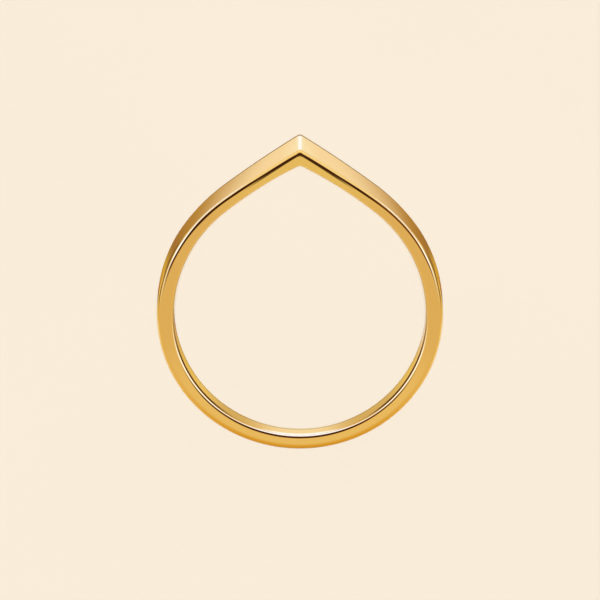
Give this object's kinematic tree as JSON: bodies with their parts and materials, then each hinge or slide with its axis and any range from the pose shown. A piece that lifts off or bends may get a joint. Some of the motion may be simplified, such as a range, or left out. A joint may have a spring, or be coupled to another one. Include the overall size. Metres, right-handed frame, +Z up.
{
  "type": "peaked wave ring",
  "caption": "Plain finger ring shaped as a pointed arch: the band widens from the palm to one crisp ridge over the finger.",
  "frame": {"origin": "middle of the bounding box, on the plane of the back side face that the ring lies on", "axes": "+Z up, out of the flat rest face and along the finger hole; +Y from the palm towards the peak; +X across the finger"},
  "size_m": [0.0196, 0.022, 0.0042],
  "materials": {
    "gold": "polished yellow gold"
  },
  "bodies": {
    "root": {"band": "gold"}
  },
  "joints": []
}
